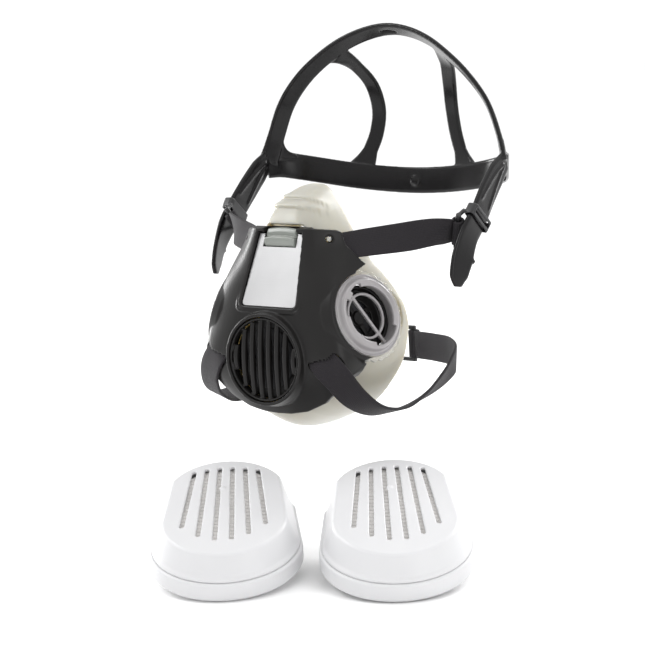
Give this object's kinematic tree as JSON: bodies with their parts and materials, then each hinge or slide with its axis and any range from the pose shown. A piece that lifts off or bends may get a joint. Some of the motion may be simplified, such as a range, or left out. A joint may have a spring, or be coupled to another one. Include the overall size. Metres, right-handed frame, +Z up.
{
  "type": "half-mask respirator with two particulate filters",
  "caption": "Reusable half-mask respirator with a strap harness, and its particulate filters taken off and lying in front of it.",
  "frame": {"origin": "middle of the face seal, where the mask meets the wearer's face", "axes": "+Z up, the mask's front towards -Y and the wearer's face towards +Y, the wearer's left towards +X"},
  "size_m": [0.1982, 0.2358, 0.255],
  "materials": {
    "silicone": "satin, milky translucent silicone",
    "shell": "satin moulded black",
    "plate": "fine vertical brushing, bright",
    "button": "smooth, slightly translucent grey-green",
    "spring": "drawn wire",
    "valve": "smooth dark silicone",
    "connector": "smooth, slightly translucent grey",
    "clear": "clear flexible plastic",
    "rubber": "smooth satin",
    "webbing": "woven elastic webbing",
    "buckle": "satin moulded black",
    "filter": "satin white",
    "media": "pleated fibre web",
    "gasket": "soft sealing rubber"
  },
  "bodies": {
    "mask": {"facepiece": "silicone", "front_shell": "shell", "front_plate": "plate", "button_spring": "spring", "exhale_seat": "shell", "head_harness": "rubber", "neck_clip_loop": "buckle", "connector_left": "connector", "connector_gasket_left": "clear", "inhale_seat_left": "shell", "upper_strap_left": "webbing", "neck_strap_left": "webbing", "connector_right": "connector", "connector_gasket_right": "clear", "inhale_seat_right": "shell", "upper_strap_right": "webbing", "neck_strap_right": "webbing"},
    "button": {"release_button": "button"},
    "exhale_grille": {"exhale_cover": "shell"},
    "exhale_flap": {"exhale_valve": "valve"},
    "inhale_flap_left": {"inhale_valve_left": "valve"},
    "inhale_flap_right": {"inhale_valve_right": "valve"},
    "buckle_left": {"buckle_left": "buckle"},
    "buckle_right": {"buckle_right": "buckle"},
    "clip_hook": {"neck_clip_hook": "buckle"},
    "filter_left": {"filter_cover_left": "filter", "filter_base_left": "filter", "filter_pad_left": "media", "filter_gasket_left": "gasket"},
    "filter_right": {"filter_cover_right": "filter", "filter_base_right": "filter", "filter_pad_right": "media", "filter_gasket_right": "gasket"}
  },
  "joints": [
    {"name": "button_press", "type": "slide", "parent": "mask", "child": "button", "axis": [0, 0.9178, -0.3972], "range_m": [0, 0.0022], "stiffness_N_per_m": 600, "springref_m": -0.001},
    {"name": "grille_pull_off", "type": "slide", "parent": "mask", "child": "exhale_grille", "axis": [0, -0.9988, 0.05], "range_m": [0, 0.03]},
    {"name": "exhale_flap_lift", "type": "slide", "parent": "mask", "child": "exhale_flap", "axis": [0, -0.9988, 0.05], "range_m": [0, 0.0015], "stiffness_N_per_m": 60, "springref_m": -0.0005},
    {"name": "inhale_flap_left_lift", "type": "slide", "parent": "mask", "child": "inhale_flap_left", "axis": [-0.9235, 0.2119, -0.3198], "range_m": [0, 0.0015], "stiffness_N_per_m": 60, "springref_m": -0.0005},
    {"name": "inhale_flap_right_lift", "type": "slide", "parent": "mask", "child": "inhale_flap_right", "axis": [0.9235, 0.2119, -0.3198], "range_m": [0, 0.0015], "stiffness_N_per_m": 60, "springref_m": -0.0005},
    {"name": "buckle_left_tilt", "type": "hinge", "parent": "mask", "child": "buckle_left", "pos_m": [0.069, 0.0172, 0.0363], "axis": [-0.3491, 0.399, -0.8479], "range_deg": [-1.5, 1.5]},
    {"name": "buckle_right_tilt", "type": "hinge", "parent": "mask", "child": "buckle_right", "pos_m": [-0.069, 0.0172, 0.0363], "axis": [-0.3491, -0.399, 0.8479], "range_deg": [-1.5, 1.5]},
    {"name": "clip_hook_open", "type": "hinge", "parent": "mask", "child": "clip_hook", "pos_m": [0.0132, 0.061, -0.0322], "axis": [0, 0, -1], "range_deg": [0, 35]},
    {"name": "filter_left_lift", "type": "slide", "parent": "mask", "child": "filter_left", "axis": [0.3509, -0.8319, 0.4299], "range_m": [0, 0.12]},
    {"name": "filter_right_lift", "type": "slide", "parent": "mask", "child": "filter_right", "axis": [-0.3509, -0.8319, 0.4299], "range_m": [0, 0.12]}
  ]
}
